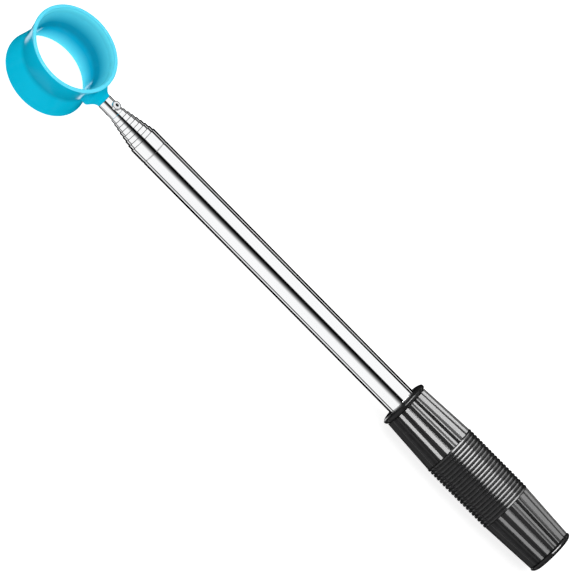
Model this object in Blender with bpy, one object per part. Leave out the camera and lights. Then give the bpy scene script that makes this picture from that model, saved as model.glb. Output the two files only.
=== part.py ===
"""Telescopic golf ball retriever, lying collapsed with its ball ring facing up.

+X runs along the pole from the ball ring to the handle, and +Z is up. The origin lies on the ground
below the middle of the tool. Each sliding tube hangs from an empty on the pole's axis, and the
empties form the chain in which the tubes pull out towards -X.
Lengths below are in millimetres. Places along the pole are counted from the ball ring's centre.
"""

import math

import bmesh
import bpy

MM = 0.001

# Ball ring: an hourglass that grips a 42.67 mm ball just above its waist
THROAT_RADIUS = 21.05
WAIST_RADIUS = 23.2
FRONT_RIM_RADIUS = 26.4
BACK_RIM_RADIUS = 25.1
RIM_WALL = 2.9
RIM_ROUNDING = 0.7
INNER_ROUNDING = 1.2
RING_HALF_DEPTH = 15.65
RING_DROP = 2.5
RIM_HEIGHT = RING_HALF_DEPTH - RIM_ROUNDING
FLARE_POWER = 1.3
FLARE_STEPS = 8
RING_SEGMENTS = 48

# Neck and plug, moulded with the ring
NECK_STATIONS = ((21.3, 9.0), (25.5, 8.8), (27.2, 7.0), (28.8, 5.3), (31.0, 4.35))
NECK_SIDES = 8
NECK_END = 31.0
PLUG_RADIUS = 3.85
PLUG_LENGTH = 14.0

# Rivet through the pole's tip and the plug
RIVET_X = 37.4
RIVET_HEAD_RADIUS = 2.75
RIVET_HEAD_TOP = 5.15
RIVET_CLINCH_RADIUS = 2.0
RIVET_CLINCH_TOP = 4.85
RIVET_SHANK_RADIUS = 1.15
RIVET_BORE_RADIUS = 0.8
RIVET_HOLE_RADIUS = 1.3
RIVET_SEAT_GAP = 0.08
RIVET_SEGMENTS = 20

# Pole: eight sliding sections inside one fixed tube
SECTIONS = 8
TIP_RADIUS = 4.25
RADIUS_STEP = 0.53
TUBE_WALL = 0.3
TUBE_SEGMENTS = 24
FIRST_LIP = 41.2
LIP_STEP = 2.7
LIP_LENGTH = 0.7
LIP_CLEARANCE = 0.06
LIP_DROP = 0.22
SECTION_REAR = 349.5
FLARE_LENGTH = 1.0
FLARE_RISE = 0.13
OUTER_TUBE_REAR = 362.0
STOP_GROOVE_X = 69.5
STOP_GROOVE_HALF_WIDTH = 0.6
STOP_GROOVE_DEPTH = 0.13

# Split friction sleeves round the rear end of each section
SLEEVE_LENGTH = 14.0
SLEEVE_INNER_GAP = 0.05
SLEEVE_WALL = 0.1

# Handle
COLLAR_FRONT = 257.0
COLLAR_REAR = 260.3
COLLAR_RADIUS = 14.4
COLLAR_DOME_LENGTH = 2.6
COLLAR_DOME_HEIGHT = 5.2
COLLAR_BORE = 8.8
COLLAR_SPIGOT_REAR = 265.7
BODY_FRONT = 260.6
BODY_REAR = 369.3
BODY_FRONT_RADIUS = 13.5
BODY_WIDE_RADIUS = 15.4
BODY_REAR_RADIUS = 13.6
BODY_BORE = 8.7
SOCKET_RADIUS = 11.2
FRONT_SOCKET_END = 266.0
REAR_SOCKET_START = 361.5
FLUTES = 18
POINTS_PER_FLUTE = 4
FLUTE_DEPTH = 1.05
FLUTE_PHASE_DEG = -0.85
RECESS_FRONT = 293.2
RECESS_REAR = 336.6
RECESS_RADIUS = 14.0
GRIP_CLEARANCE = 0.2
GRIP_BORE = 14.3
GRIP_PEAK_RADIUS = 15.75
GRIP_VALLEY_RADIUS = 15.2
GRIP_RIBS = 20
GRIP_SEGMENTS = 24
CAP_FRONT = 369.6
CAP_REAR = 372.4
CAP_RADIUS = 14.0
CAP_DOME_LENGTH = 2.2
CAP_DOME_HEIGHT = 3.4
DOME_STEPS = 4
SPIGOT_RADIUS = 10.9
CAP_SPIGOT_FRONT = 364.8
TURNED_SEGMENTS = 40
END_PLUG_FRONT = 350.5
END_PLUG_FLANGE = (362.3, 364.3)
END_PLUG_RADIUS = 8.05
END_PLUG_FLANGE_RADIUS = 10.4
LOCK_PIN_X = 300.0
LOCK_PIN_RADIUS = 1.2
LOCK_PIN_HOLE_RADIUS = 1.35
LOCK_PIN_SPAN = (8.25, 13.8)
LOCK_PIN_SEGMENTS = 16

# Frame: the ground touches the ring's back rim, and the origin is below the middle of the tool
AXIS_HEIGHT = RING_DROP + RING_HALF_DEPTH
TOOL_MIDDLE = (CAP_REAR - FRONT_RIM_RADIUS) / 2

# Colour (linear RGB), roughness and metallic value of each material
MATERIALS = {
    "cyan_plastic": ((0.01, 0.50, 0.78), 0.22, 0.0),
    "polished_steel": ((0.82, 0.83, 0.85), 0.10, 1.0),
    "rivet_steel": ((0.70, 0.70, 0.72), 0.25, 1.0),
    "spring_brass": ((0.80, 0.58, 0.26), 0.30, 1.0),
    "black_plastic": ((0.035, 0.035, 0.037), 0.35, 0.0),
    "black_rubber": ((0.025, 0.025, 0.026), 0.55, 0.0),
}


# Basic shapes. A station is (place along the axis, radius) or has a flute depth as third value.


def around(count, phase_deg=0.0):
    """Evenly spaced angles of a full turn."""
    return [math.radians(phase_deg) + 2 * math.pi * i / count for i in range(count)]


def axis_point(axis, along, radius, angle):
    across, up = radius * math.cos(angle), radius * math.sin(angle)
    return (along, across, up) if axis == "X" else (across, up, along)


def rows_of_points(bm, stations, angles, axis):
    """One row of vertices for each station. On a fluted one, half of each flute's points sink."""
    rows = []
    for along, radius, *depth in stations:
        row = []
        for index, angle in enumerate(angles):
            in_groove = bool(depth) and index % POINTS_PER_FLUTE >= POINTS_PER_FLUTE // 2
            r = radius - depth[0] if in_groove else radius
            point = [value * MM for value in axis_point(axis, along, r, angle)]
            row.append(bm.verts.new(point))
        rows.append(row)
    return rows


def bridge(bm, first, second, closed=True):
    count = len(first)
    for i in range(count if closed else count - 1):
        j = (i + 1) % count
        bm.faces.new((first[i], first[j], second[j], second[i]))


def finished_mesh(name, bm):
    bmesh.ops.recalc_face_normals(bm, faces=bm.faces)
    mesh = bpy.data.meshes.new(name)
    bm.to_mesh(mesh)
    bm.free()
    mesh.shade_smooth()
    mesh.set_sharp_from_angle(angle=math.radians(35))
    return mesh


def hollow(name, loop, segments, axis="X", phase_deg=0.0):
    """A ring or tube: a closed loop of stations swept round the axis."""
    bm = bmesh.new()
    rows = rows_of_points(bm, loop, around(segments, phase_deg), axis)
    for first, second in zip(rows, rows[1:] + rows[:1]):
        bridge(bm, first, second)
    return finished_mesh(name, bm)


def solid(name, stations, segments, axis="X", phase_deg=0.0):
    """A turned solid: an open row of stations, closed by a flat face at each end."""
    bm = bmesh.new()
    rows = rows_of_points(bm, stations, around(segments, phase_deg), axis)
    for first, second in zip(rows, rows[1:]):
        bridge(bm, first, second)
    bm.faces.new(rows[0])
    bm.faces.new(rows[-1])
    return finished_mesh(name, bm)


def split_sleeve(name, front, rear, inner, outer, segments):
    """A thin C-shaped sleeve, open over one segment so that it can spring."""
    bm = bmesh.new()
    loop = ((front, outer), (rear, outer), (rear, inner), (front, inner))
    rows = rows_of_points(bm, loop, around(segments), "X")
    for first, second in zip(rows, rows[1:] + rows[:1]):
        bridge(bm, first, second, closed=False)
    for end in (0, -1):
        bm.faces.new([row[end] for row in rows])
    return finished_mesh(name, bm)


# Placing


def material(name):
    made = bpy.data.materials.get(name)
    if made is None:
        colour, roughness, metallic = MATERIALS[name]
        made = bpy.data.materials.new(name)
        made.use_nodes = True
        shader = made.node_tree.nodes["Principled BSDF"]
        shader.inputs["Base Color"].default_value = (*colour, 1.0)
        shader.inputs["Roughness"].default_value = roughness
        shader.inputs["Metallic"].default_value = metallic
        made.diffuse_color = (*colour, 1.0)
    return made


def link(name, mesh, parent):
    """Links an object, or an empty, whose origin is the ring's centre, on the pole's axis."""
    thing = bpy.data.objects.new(name, mesh)
    bpy.context.scene.collection.objects.link(thing)
    thing.parent = parent
    return thing


def add(mesh, material_name, parent):
    mesh.materials.append(material(material_name))
    return link(mesh.name, mesh, parent)


def add_helper(mesh, parent):
    """A shape that only shapes others: it isn't part of the tool."""
    thing = link(mesh.name, mesh, parent)
    thing.hide_render = True
    thing.display_type = "WIRE"
    return thing


def combine(thing, helper, operation):
    step = thing.modifiers.new(helper.name, "BOOLEAN")
    step.operation = operation
    step.solver = "EXACT"
    step.object = helper


# Ball ring


def ring_radius(height, waist, rim_inset):
    """Outline of the hourglass: its waist opens by a power law to each rim."""
    rim = (FRONT_RIM_RADIUS if height > 0 else BACK_RIM_RADIUS) - rim_inset
    return waist + (rim - waist) * (abs(height) / RIM_HEIGHT) ** FLARE_POWER


def ring_outline(waist, rim_inset, edge_shift, overrun):
    """Stations from the back to the front. The first and last one slope the rim's edge."""
    heights = [RIM_HEIGHT * (2 * i / FLARE_STEPS - 1) for i in range(FLARE_STEPS + 1)]
    outline = [(height, ring_radius(height, waist, rim_inset)) for height in heights]
    back = (-RING_HALF_DEPTH - overrun, outline[0][1] + edge_shift)
    front = (RING_HALF_DEPTH + overrun, outline[-1][1] + edge_shift)
    return [(height - RING_DROP, radius) for height, radius in (back, *outline, front)]


def head_ring(parent, rivet_hole):
    outside = ring_outline(WAIST_RADIUS, 0.0, -RIM_ROUNDING, 0.0)
    inside = ring_outline(THROAT_RADIUS, RIM_WALL, 2 * INNER_ROUNDING, RIM_ROUNDING)
    to_corner = 1 / math.cos(math.pi / (2 * NECK_SIDES))
    neck_stations = [(x, radius * to_corner) for x, radius in NECK_STATIONS]
    plug_stations = (
        (NECK_END - 1.0, PLUG_RADIUS),
        (NECK_END + PLUG_LENGTH - 1.0, PLUG_RADIUS),
        (NECK_END + PLUG_LENGTH, PLUG_RADIUS - 0.6),
    )
    ring = add(solid("head_ring", outside, RING_SEGMENTS, "Z"), "cyan_plastic", parent)
    neck = solid("neck_shape", neck_stations, NECK_SIDES, phase_deg=180 / NECK_SIDES)
    plug = solid("plug_shape", plug_stations, TUBE_SEGMENTS)
    throat = solid("throat_shape", inside, RING_SEGMENTS, "Z")
    combine(ring, add_helper(neck, parent), "UNION")
    combine(ring, add_helper(plug, parent), "UNION")
    combine(ring, add_helper(throat, parent), "DIFFERENCE")
    combine(ring, rivet_hole, "DIFFERENCE")


def crosswise(name, radius, low, high, segments, parent, x):
    """A helper rod that stands upright on the pole's axis at the given place."""
    rod = add_helper(solid(name, ((low, radius), (high, radius)), segments, "Z"), parent)
    rod.location.x = x * MM
    return rod


def rivet_half(radius, top):
    """(radius, height) points from the bore over a domed head to the shank. None is on the tube."""
    seat_end = (RIVET_SHANK_RADIUS / radius + 1) / 2
    return [
        (RIVET_BORE_RADIUS, top),
        (0.6 * radius, top),
        (0.8 * radius, top - 0.15),
        (radius, top - 0.5),
        (radius, None),
        (seat_end * radius, None),
        (RIVET_SHANK_RADIUS, None),
    ]


def head_rivet(parent):
    """A tubular rivet about the Z axis. The undersides of its head and clinch follow the tube."""
    seat_radius = TIP_RADIUS + RIVET_SEAT_GAP
    head = rivet_half(RIVET_HEAD_RADIUS, RIVET_HEAD_TOP)
    clinch = rivet_half(RIVET_CLINCH_RADIUS, RIVET_CLINCH_TOP)
    bm = bmesh.new()
    rows = []
    for side, half in ((1, head), (-1, clinch[::-1])):
        for r, height in half:
            row = []
            for angle in around(RIVET_SEGMENTS):
                across = r * math.sin(angle)
                z = math.sqrt(seat_radius**2 - across**2) if height is None else height
                row.append(bm.verts.new((r * math.cos(angle) * MM, across * MM, side * z * MM)))
            rows.append(row)
    for first, second in zip(rows, rows[1:] + rows[:1]):
        bridge(bm, first, second)
    rivet = add(finished_mesh("head_rivet", bm), "rivet_steel", parent)
    rivet.location.x = RIVET_X * MM


# Pole


def section_radius(number):
    """Outer radius of sliding section 1, the tip, to 8. The outer tube follows as number 9."""
    return TIP_RADIUS + RADIUS_STEP * (number - 1)


def lip_front(number):
    """Where a tube's front lip stands with the pole pushed in. The tip meets the neck."""
    return NECK_END + 0.2 if number == 1 else FIRST_LIP + LIP_STEP * (number - 2)


def front_stations(number):
    """(outer stations, inner stations) of a tube's front end: plain on the tip, else a rolled lip."""
    outer, front = section_radius(number), lip_front(number)
    bore = outer - TUBE_WALL
    if number == 1:
        return [(front, outer)], [(front, bore)]
    lip_bore = section_radius(number - 1) + LIP_CLEARANCE
    outside = [(front, outer - LIP_DROP), (front + LIP_LENGTH, outer)]
    inside = [(front + LIP_LENGTH + 0.3, bore), (front + LIP_LENGTH, lip_bore), (front, lip_bore)]
    return outside, inside


def section(number, parent):
    """A sliding tube, whose rear end flares to keep its friction sleeve on."""
    outer = section_radius(number)
    outside, inside = front_stations(number)
    flare_start = SECTION_REAR - FLARE_LENGTH
    rear = [
        (flare_start, outer),
        (SECTION_REAR, outer + FLARE_RISE),
        (SECTION_REAR, outer - TUBE_WALL + FLARE_RISE),
        (flare_start, outer - TUBE_WALL),
    ]
    mesh = hollow(f"section_{number}", outside + rear + inside, TUBE_SEGMENTS)
    return add(mesh, "polished_steel", parent)


def friction_sleeve(number, parent):
    inner = section_radius(number) + SLEEVE_INNER_GAP
    rear = SECTION_REAR - FLARE_LENGTH - 0.2
    name = f"friction_sleeve_{number}"
    front = rear - SLEEVE_LENGTH
    mesh = split_sleeve(name, front, rear, inner, inner + SLEEVE_WALL, TUBE_SEGMENTS)
    add(mesh, "spring_brass", parent)


def outer_tube(pin_hole):
    """The fixed tube. Its rolled groove stops section 8's sleeve behind the lip."""
    number = SECTIONS + 1
    outer = section_radius(number)
    outside, inside = front_stations(number)
    groove = (
        (-STOP_GROOVE_HALF_WIDTH, 0.0),
        (0.0, STOP_GROOVE_DEPTH),
        (STOP_GROOVE_HALF_WIDTH, 0.0),
    )
    outside += [(STOP_GROOVE_X + along, outer - depth) for along, depth in groove]
    rear = [(OUTER_TUBE_REAR, outer), (OUTER_TUBE_REAR, outer - TUBE_WALL)]
    bore = [(STOP_GROOVE_X + a, outer - TUBE_WALL - depth) for a, depth in reversed(groove)]
    mesh = hollow("outer_tube", outside + rear + bore + inside, TUBE_SEGMENTS)
    tube = add(mesh, "polished_steel", None)
    combine(tube, pin_hole, "DIFFERENCE")


def tube_end_plug():
    flange_front, flange_rear = END_PLUG_FLANGE
    stations = (
        (END_PLUG_FRONT, END_PLUG_RADIUS - 0.4),
        (END_PLUG_FRONT + 0.6, END_PLUG_RADIUS),
        (flange_front, END_PLUG_RADIUS),
        (flange_front, END_PLUG_FLANGE_RADIUS),
        (flange_rear, END_PLUG_FLANGE_RADIUS),
    )
    add(solid("tube_end_plug", stations, TUBE_SEGMENTS), "black_plastic", None)


# Handle


def dome(crest, radius, length, height):
    """A quarter of an ellipse, from its flat end, the given length before the crest, to the crest."""
    turns = [math.pi / 2 * step / DOME_STEPS for step in range(DOME_STEPS + 1)]
    return [
        (crest - length * math.cos(turn), radius - height + height * math.sin(turn))
        for turn in turns
    ]


def front_collar():
    """The domed ring round the tube, with a spigot that sits in the handle body."""
    crest = COLLAR_FRONT + COLLAR_DOME_LENGTH
    loop = [
        (COLLAR_FRONT, COLLAR_BORE),
        *dome(crest, COLLAR_RADIUS, COLLAR_DOME_LENGTH, COLLAR_DOME_HEIGHT),
        (COLLAR_REAR, COLLAR_RADIUS - 0.7),
        (COLLAR_REAR, SPIGOT_RADIUS),
        (COLLAR_SPIGOT_REAR, SPIGOT_RADIUS),
        (COLLAR_SPIGOT_REAR, COLLAR_BORE),
    ]
    add(hollow("front_collar", loop, TURNED_SEGMENTS), "black_plastic", None)


def handle_body(pin_hole):
    """One fluted moulding, widest beside the recess that holds the grip sleeve."""
    loop = [
        (BODY_FRONT, BODY_FRONT_RADIUS, FLUTE_DEPTH),
        (RECESS_FRONT, BODY_WIDE_RADIUS, FLUTE_DEPTH),
        (RECESS_FRONT, RECESS_RADIUS, 0.0),
        (RECESS_REAR, RECESS_RADIUS, 0.0),
        (RECESS_REAR, BODY_WIDE_RADIUS, FLUTE_DEPTH),
        (BODY_REAR, BODY_REAR_RADIUS, FLUTE_DEPTH),
        (BODY_REAR, SOCKET_RADIUS, 0.0),
        (REAR_SOCKET_START, SOCKET_RADIUS, 0.0),
        (REAR_SOCKET_START, BODY_BORE, 0.0),
        (FRONT_SOCKET_END, BODY_BORE, 0.0),
        (FRONT_SOCKET_END, SOCKET_RADIUS, 0.0),
        (BODY_FRONT, SOCKET_RADIUS, 0.0),
    ]
    segments = FLUTES * POINTS_PER_FLUTE
    mesh = hollow("handle_body", loop, segments, phase_deg=FLUTE_PHASE_DEG)
    body = add(mesh, "black_plastic", None)
    combine(body, pin_hole, "DIFFERENCE")


def grip_sleeve():
    """The ribbed sleeve: its outside runs from valley to peak once for each rib."""
    front, rear = RECESS_FRONT + GRIP_CLEARANCE, RECESS_REAR - GRIP_CLEARANCE
    half_pitch = (rear - front) / (2 * GRIP_RIBS)
    ribs = [
        (front + i * half_pitch, GRIP_PEAK_RADIUS if i % 2 else GRIP_VALLEY_RADIUS)
        for i in range(2 * GRIP_RIBS + 1)
    ]
    loop = [*ribs, (rear, GRIP_BORE), (front, GRIP_BORE)]
    add(hollow("grip_sleeve", loop, GRIP_SEGMENTS), "black_rubber", None)


def end_cap():
    """The rounded cap, with a spigot that sits in the handle body and a flat rear face."""
    crest = CAP_REAR - CAP_DOME_LENGTH
    stations = (
        (CAP_SPIGOT_FRONT, SPIGOT_RADIUS - 0.5),
        (CAP_SPIGOT_FRONT + 0.5, SPIGOT_RADIUS),
        (CAP_FRONT, SPIGOT_RADIUS),
        (CAP_FRONT, CAP_RADIUS - 0.4),
        *reversed(dome(crest, CAP_RADIUS, -CAP_DOME_LENGTH, CAP_DOME_HEIGHT)),
    )
    add(solid("end_cap", stations, TURNED_SEGMENTS), "black_plastic", None)


def handle_lock_pin():
    low, high = LOCK_PIN_SPAN
    stations = ((low, LOCK_PIN_RADIUS - 0.2), (low + 0.2, LOCK_PIN_RADIUS), (high, LOCK_PIN_RADIUS))
    pin = add(solid("handle_lock_pin", stations, LOCK_PIN_SEGMENTS, "Z"), "rivet_steel", None)
    pin.location.x = LOCK_PIN_X * MM


# Assembly


def move_to_ground(things):
    """Shifts everything that hangs from nothing, so that the origin lies below the middle."""
    for thing in things:
        if thing.parent is None:
            thing.location.x -= TOOL_MIDDLE * MM
            thing.location.z += AXIS_HEIGHT * MM


def build():
    for old in list(bpy.data.objects):
        bpy.data.objects.remove(old)

    low, high = LOCK_PIN_SPAN
    pin_hole = crosswise(
        "pin_hole_shape",
        LOCK_PIN_HOLE_RADIUS,
        low - 1.0,
        high + 2.0,
        LOCK_PIN_SEGMENTS,
        None,
        LOCK_PIN_X,
    )
    outer_tube(pin_hole)
    tube_end_plug()
    front_collar()
    handle_body(pin_hole)
    grip_sleeve()
    end_cap()
    handle_lock_pin()

    slide = None
    for number in range(SECTIONS, 0, -1):
        slide = link(f"slide_{number}", None, slide)
        tube = section(number, slide)
        friction_sleeve(number, slide)
    reach = 2 * TIP_RADIUS
    rivet_hole = crosswise(
        "rivet_hole_shape", RIVET_HOLE_RADIUS, -reach, reach, RIVET_SEGMENTS, slide, RIVET_X
    )
    combine(tube, rivet_hole, "DIFFERENCE")
    head_ring(slide, rivet_hole)
    head_rivet(slide)
    move_to_ground(bpy.data.objects)


build()
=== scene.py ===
"""Looks for the golf ball retriever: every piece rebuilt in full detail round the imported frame.

All lengths are metres, and angles are degrees unless a name says otherwise. Places and radii come
from the boxes of the CAD nodes. X runs along the pole, from the ball ring to the handle.
"""

import math

import bmesh
import bpy
import numpy as np
from mathutils import Matrix, Vector


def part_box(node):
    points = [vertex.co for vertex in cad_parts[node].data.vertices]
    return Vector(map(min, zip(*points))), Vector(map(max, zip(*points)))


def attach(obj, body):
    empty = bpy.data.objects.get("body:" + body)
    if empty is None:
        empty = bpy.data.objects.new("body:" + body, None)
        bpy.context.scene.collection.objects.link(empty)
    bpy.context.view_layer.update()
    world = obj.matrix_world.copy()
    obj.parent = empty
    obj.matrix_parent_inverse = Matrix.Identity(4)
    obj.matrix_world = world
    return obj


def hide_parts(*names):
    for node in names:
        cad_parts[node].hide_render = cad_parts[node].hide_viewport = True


MM = 0.001

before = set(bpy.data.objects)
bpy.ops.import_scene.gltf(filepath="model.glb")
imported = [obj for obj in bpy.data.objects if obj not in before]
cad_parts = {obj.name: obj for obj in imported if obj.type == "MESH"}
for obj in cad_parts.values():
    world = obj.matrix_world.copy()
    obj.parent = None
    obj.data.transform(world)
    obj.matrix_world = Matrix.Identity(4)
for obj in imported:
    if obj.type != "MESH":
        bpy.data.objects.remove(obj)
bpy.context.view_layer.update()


def span(node):
    """(lowest X, highest X, largest radius) of a CAD node that is turned about the pole's axis."""
    low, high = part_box(node)
    return low.x, high.x, (high.y - low.y) / 2


# Pole
SECTIONS = 8
POLE_SEGMENTS = 144
AXIS_HEIGHT = sum(corner.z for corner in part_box("outer_tube")) / 2
TUBE_FRONT, TUBE_REAR, TUBE_RADIUS = span("outer_tube")
RADIUS_STEP = 0.53 * MM
TUBE_WALL = 0.3 * MM
LIP_ROLL = 0.3 * MM
LIP_LENGTH = 1.6 * LIP_ROLL
LIP_TAPER = 0.5 * MM
LIP_EDGE = 0.12 * MM
TIP_EDGE = 0.1 * MM
LIP_CLEARANCE = 0.06 * MM
FLARE_LENGTH = 1.0 * MM
FLARE_RISE = 0.13 * MM
STOP_GROOVE_OFFSET = 9.4 * MM
STOP_GROOVE_HALF_WIDTH = 0.6 * MM
STOP_GROOVE_DEPTH = 0.13 * MM
STOP_GROOVE_STEPS = 6
# Half the width of the band of painted shade, darker steel, at the bottom of the stop groove
STOP_GROOVE_SHADE = 0.12 * MM
SLEEVE_WALL = 0.1 * MM
SLEEVE_SLOT_ANGLE = 15
HOLE_SEGMENTS = 48

TIP_FRONT = span("section_1")[0]
TIP_RADIUS = span("section_1")[2] - FLARE_RISE

# Ball ring
RING_LOW, RING_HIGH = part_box("head_ring")
RING_SEGMENTS = 192
WALL_STEPS = 48
# How much of the way to its rim's rounding the wall's own curve goes
WALL_SHARE = 0.985
FRONT_RIM_RADIUS = (RING_HIGH.y - RING_LOW.y) / 2
BACK_RIM_RADIUS = FRONT_RIM_RADIUS - 1.3 * MM
RING_CENTRE = (RING_LOW.x + FRONT_RIM_RADIUS, (RING_LOW.z + RING_HIGH.z) / 2)
RING_HALF_DEPTH = (RING_HIGH.z - RING_LOW.z) / 2
WAIST_RADIUS = 23.2 * MM
THROAT_RADIUS = 21.05 * MM
RIM_WALL = 2.9 * MM
OUTER_ROUNDING = 0.7 * MM
INNER_ROUNDING = 1.2 * MM
INNER_ROUNDING_DEPTH = 4.0 * MM
FLARE_POWER = 1.3
# Painted shade round the waist, a darker colour standing for the shade there and on the upper flare: its
# height over the middle, its reach down and up, its strength
PAINTED_SHADE_WAIST_HEIGHT = 0.8 * MM
PAINTED_SHADE_BELOW_WAIST = 3.5 * MM
PAINTED_SHADE_ABOVE_WAIST = 24 * MM
PAINTED_SHADE_AT_WAIST = 0.86
# Down to this depth below each rim, the inside of the ring is painted paler, as painted light
PAINTED_LIGHT_DEPTH = 12.0 * MM
# Painted light on the front lip: a paler, whiter colour for the light on its top comes in between these
# depths below the rim
LIP_PAINTED_LIGHT_DEPTHS = (1.0 * MM, 0.3 * MM)
RIM_SHARE = 0.8
NECK_SIDES = 8
NECK_SEGMENTS = 128
NECK_CORNER = 1.055
NECK_MARGIN = 0.15 * MM
# (distance from the ring's centre, radius) in millimetres, from the root to where the pole starts
NECK_OUTLINE = (
    (21.3, 9.0),
    (25.3, 8.9),
    (26.1, 8.3),
    (27.2, 6.95),
    (28.2, 5.8),
    (29.2, 4.95),
    (30.3, 4.47),
    (30.9, 4.40),
)
NECK_END_RADIUS = 4.25 * MM
NECK_END_GAP = 0.1 * MM
PLUG_STEP = 0.11 * MM
PLUG_RADIUS = 3.85 * MM
PLUG_ROUNDING = 0.6 * MM
RIVET_LOW, RIVET_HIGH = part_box("head_rivet")
RIVET_X = (RIVET_LOW.x + RIVET_HIGH.x) / 2
RIVET_RADIUS = (RIVET_HIGH.y - RIVET_LOW.y) / 2
RIVET_TOP = RIVET_HIGH.z - AXIS_HEIGHT
CLINCH_RADIUS = 2.0 * MM
CLINCH_TOP = AXIS_HEIGHT - RIVET_LOW.z
RIVET_SHANK_RADIUS = 1.15 * MM
RIVET_BORE_RADIUS = 0.8 * MM
RIVET_FUNNEL = 0.35 * MM
RIVET_HOLE_RADIUS = 1.3 * MM
RIVET_SEGMENTS = 64
RIVET_DOME_HEIGHT = 0.65 * MM
RIVET_DOME_SHARE = 0.42
RIVET_SEAT_GAP = 0.08 * MM
# Past this share of its radius, a head stays this far off the tube
RIVET_RIM_SHARE = 0.95
RIVET_RIM_GAP = 0.05 * MM

# Handle
COLLAR_FRONT, COLLAR_SPIGOT_REAR, COLLAR_RADIUS = span("front_collar")
COLLAR_LENGTH = 3.3 * MM
COLLAR_BORE = TUBE_RADIUS + 0.3 * MM
COLLAR_CHAMFER = 0.15 * MM
COLLAR_DOME_START = 9.6 * MM
COLLAR_BACK_LENGTH = 1.5 * MM
COLLAR_BACK_HEIGHT = 0.9 * MM
SPIGOT_RADIUS = 10.9 * MM
BODY_FRONT, BODY_REAR, BODY_WIDE_RADIUS = span("handle_body")
BODY_FRONT_RADIUS = 13.5 * MM
BODY_REAR_RADIUS = 13.6 * MM
BODY_BORE = TUBE_RADIUS + 0.2 * MM
BODY_CHAMFER = 0.25 * MM
SOCKET_RADIUS = 11.2 * MM
SOCKET_DEPTH = 5.4 * MM
REAR_SOCKET_DEPTH = 7.8 * MM
RECESS_RADIUS = 14.0 * MM
FLUTES = 18
FLUTE_DEPTH = 1.15 * MM
FLUTE_POINTS = 24
# Where a ridge of the flutes lies, in degrees from +Y towards +Z
RIDGE_ANGLE = 1.65
# Half of a flute as (share of its pitch, share of its depth), from the ridge to the groove's middle
FLUTE_PROFILE = ((0.0, 0.0), (0.035, 0.0), (0.07, 0.06), (0.36, 0.94), (0.395, 1.0), (0.5, 1.0))
GRIP_FRONT, GRIP_REAR, GRIP_RADIUS = span("grip_sleeve")
GRIP_CLEARANCE = 0.2 * MM
GRIP_BORE = 14.3 * MM
GRIP_VALLEY_RADIUS = 15.25 * MM
GRIP_RIBS = 20
RIB_WIDTH = 0.95 * MM
RIB_ROUNDING = 0.15 * MM
CAP_FRONT, CAP_REAR, CAP_RADIUS = span("end_cap")
CAP_LENGTH = 2.8 * MM
CAP_SPIGOT_CHAMFER = 0.5 * MM
CAP_FRONT_ROUNDING = 0.45 * MM
CAP_DOME_LENGTH = 2.2 * MM
CAP_DOME_START = 10.6 * MM
CAP_FACE_RADII = (5 * MM, 1 * MM)
END_PLUG_FRONT, END_PLUG_REAR, END_PLUG_FLANGE_RADIUS = span("tube_end_plug")
END_PLUG_RADIUS = 8.05 * MM
END_PLUG_FLANGE = 2.0 * MM
END_PLUG_CHAMFER = 0.6 * MM
FLANGE_CHAMFER = 0.2 * MM
PIN_LOW, PIN_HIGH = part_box("handle_lock_pin")
PIN_X = (PIN_LOW.x + PIN_HIGH.x) / 2
PIN_RADIUS = (PIN_HIGH.y - PIN_LOW.y) / 2
PIN_HOLE_RADIUS = PIN_RADIUS + 0.15 * MM
PIN_HOLE_SPAN = (7 * MM, 15.8 * MM)
PIN_ROUNDINGS = (0.2 * MM, 0.1 * MM)

# Studio: how far the line of sight leans towards the ring and how high it looks from
VIEW = Vector((-0.085, -0.676, 0.732)).normalized()
POLE_IN_PICTURE = Vector((0.7029, -0.7113))
PICTURE_WIDTH = 306.8 * MM
LENS = 1000.0
SENSOR = 36.0
TARGET = Vector((-1.77 * MM, -0.295 * MM, AXIS_HEIGHT - 0.28 * MM))
FLOOR_GLOW = 0.83
FLOOR_HALF_WIDTH = 4.0
FLOOR_GAP = 0.05 * MM

# Brightness by the angle round the pole: 0 is level towards the camera's side, 90 is straight up and
# 180 is level on the far side. It dims where a direction leans far along the pole.
STUDIO_BANDS = (
    (-180, 0.0),
    (-76, 0.0),
    (-73.5, 1.0),
    (-63, 1.0),
    (-62, 0.08),
    (-50, 0.08),
    (-48.5, 1.0),
    (15, 1.0),
    (20, 0.84),
    (24, 0.66),
    (28, 0.46),
    (33, 0.24),
    (38, 0.10),
    (46, 0.02),
    (50, 0.0),
    (63, 0.0),
    (66, 1.0),
    (142.5, 1.0),
    (145, 0.0),
    (164, 0.0),
    (165.5, 1.2),
    (170, 1.2),
    (171.5, 0.0),
)
DIMMED_LEAN = (0.35, 0.5)
DIMMED_LEVEL = 0.5
# Another band, low behind the tool, for directions whose lean is between the middle two values.
# It fades in over the first pair and out over the second.
BELOW_BANDS = ((-180, 0.0), (-128, 0.0), (-125, 1.0), (-119, 1.0), (-116, 0.0))
BELOW_LEAN = (0.12, 0.16, 0.34, 0.42)
BELOW_LEVEL = 2.2
STRIP_DISTANCE = 0.25
FILL_DISTANCES = (0.4, 0.6)
FAR_STRIP_DISTANCE = 0.3
# Where the strip lights start and end along the pole
RING_LIGHT_REACH = (RING_CENTRE[0] - 87 * MM, RING_CENTRE[0] + 23 * MM)
RING_FILL_REACH = (RING_CENTRE[0] - 107 * MM, RING_CENTRE[0] + 53 * MM)
COLLAR_LIGHT_REACH = (BODY_FRONT - 187.6 * MM, BODY_FRONT - 12.6 * MM)
HANDLE_LIGHT_FRONT = BODY_FRONT - 25.6 * MM
GRIP_LIGHT_FRONT = BODY_FRONT + 53.4 * MM
GRIP_LIGHT_REAR = BODY_FRONT + 97.4 * MM
CAP_LIGHT_FRONT = BODY_FRONT + 162.4 * MM
HANDLE_LIGHT_REAR = BODY_FRONT + 312.4 * MM
FILL_REACH = (-0.9, 0.9)


# Outlines. A station is (place along the axis, radius).


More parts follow.
